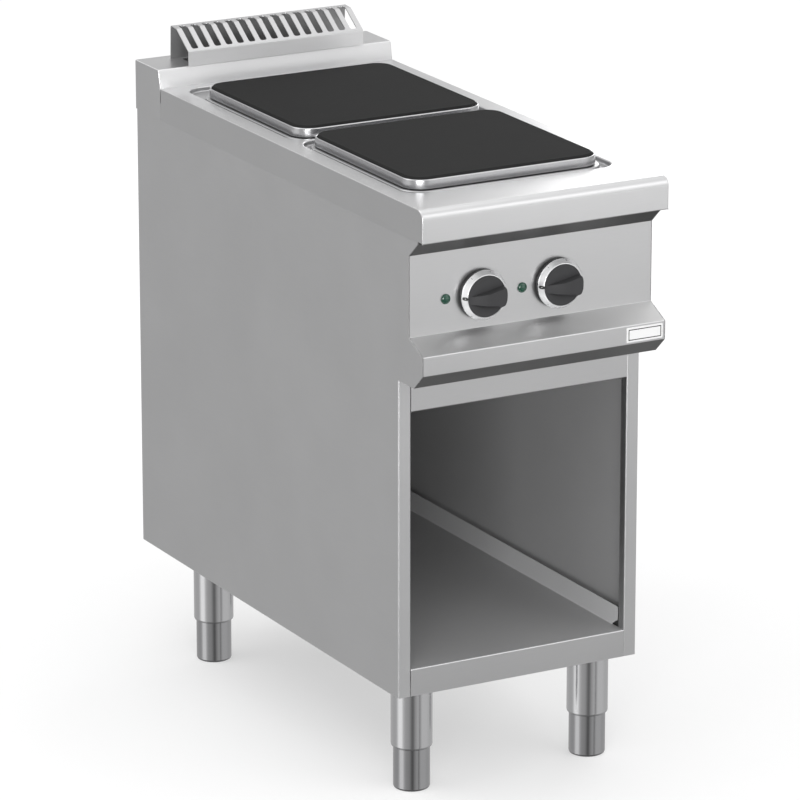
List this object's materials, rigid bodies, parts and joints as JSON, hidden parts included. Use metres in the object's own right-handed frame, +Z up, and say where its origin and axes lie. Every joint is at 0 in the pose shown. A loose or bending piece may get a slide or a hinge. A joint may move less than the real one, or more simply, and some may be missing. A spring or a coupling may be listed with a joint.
{
  "type": "electric range",
  "caption": "Free-standing stainless steel electric range: square cast-iron hot plates over an open storage cabinet, with control knobs, flue grille and adjustable legs.",
  "frame": {"origin": "on the floor, at the centre of the footprint", "axes": "+Z up, front and controls face -Y, +X to the right seen from the front"},
  "size_m": [0.4, 0.9, 0.98],
  "materials": {
    "sheet_steel": "fine satin",
    "inner_steel": "mill",
    "rim_steel": "polished",
    "leg_steel": "turned, polished",
    "fastener": "plated",
    "plate_iron": "machined, coated black",
    "badge": "gloss, blank",
    "seal": "matt",
    "element_sheath": "heat tinted",
    "switch_plastic": "moulded",
    "knob_plastic": "satin moulded",
    "dial_chrome": "satin chrome",
    "lens": "clear green",
    "ceramic": "glazed ceramic",
    "gland_plastic": "moulded",
    "wire_sleeve": "woven sleeve"
  },
  "bodies": {
    "cabinet": {"worktop": "sheet_steel", "rear_riser": "sheet_steel", "flue_grille": "sheet_steel", "left_side_panel": "sheet_steel", "right_side_panel": "sheet_steel", "back_panel": "inner_steel", "floor_shelf": "sheet_steel", "front_base_channel": "inner_steel", "rear_base_channel": "inner_steel", "fascia_rail": "sheet_steel", "compartment_ceiling": "inner_steel", "control_panel": "sheet_steel", "badge_plate": "badge", "heat_shield": "inner_steel", "front_plate": "plate_iron", "front_plate_rim": "rim_steel", "front_plate_seal": "seal", "front_heating_element": "element_sheath", "front_plate_cover": "inner_steel", "front_clamp_bar": "inner_steel", "rear_plate": "plate_iron", "rear_plate_rim": "rim_steel", "rear_plate_seal": "seal", "rear_heating_element": "element_sheath", "rear_plate_cover": "inner_steel", "rear_clamp_bar": "inner_steel", "clamp_nuts": "fastener", "plate_terminals": "ceramic", "left_switch": "switch_plastic", "left_dial_ring": "dial_chrome", "left_bezel": "knob_plastic", "left_pilot_lens": "lens", "right_switch": "switch_plastic", "right_dial_ring": "dial_chrome", "right_bezel": "knob_plastic", "right_pilot_lens": "lens", "pilot_lamp_bodies": "ceramic", "terminal_block": "ceramic", "cable_gland": "gland_plastic", "bonding_stud": "fastener", "supply_wiring": "wire_sleeve", "plate_wiring": "wire_sleeve", "front_left_leg": "leg_steel", "front_right_leg": "leg_steel", "rear_left_leg": "leg_steel", "rear_right_leg": "leg_steel", "leg_screws": "fastener", "back_panel_screws": "fastener", "control_panel_screws": "fastener"},
    "left_control": {"left_knob": "knob_plastic", "left_switch_shaft": "fastener"},
    "right_control": {"right_knob": "knob_plastic", "right_switch_shaft": "fastener"},
    "front_left_foot_body": {"front_left_foot": "leg_steel"},
    "front_right_foot_body": {"front_right_foot": "leg_steel"},
    "rear_left_foot_body": {"rear_left_foot": "leg_steel"},
    "rear_right_foot_body": {"rear_right_foot": "leg_steel"}
  },
  "joints": [
    {"name": "left_knob_turn", "type": "hinge", "parent": "cabinet", "child": "left_control", "pos_m": [-0.082, -0.42, 0.756], "axis": [0, 1, 0], "range_deg": [0, 308.57]},
    {"name": "right_knob_turn", "type": "hinge", "parent": "cabinet", "child": "right_control", "pos_m": [0.042, -0.42, 0.756], "axis": [0, 1, 0], "range_deg": [0, 308.57]},
    {"name": "front_left_foot_screw", "type": "slide", "parent": "cabinet", "child": "front_left_foot_body", "axis": [0, 0, 1], "range_m": [-0.01, 0.045]},
    {"name": "front_right_foot_screw", "type": "slide", "parent": "cabinet", "child": "front_right_foot_body", "axis": [0, 0, 1], "range_m": [-0.01, 0.045]},
    {"name": "rear_left_foot_screw", "type": "slide", "parent": "cabinet", "child": "rear_left_foot_body", "axis": [0, 0, 1], "range_m": [-0.01, 0.045]},
    {"name": "rear_right_foot_screw", "type": "slide", "parent": "cabinet", "child": "rear_right_foot_body", "axis": [0, 0, 1], "range_m": [-0.01, 0.045]}
  ]
}
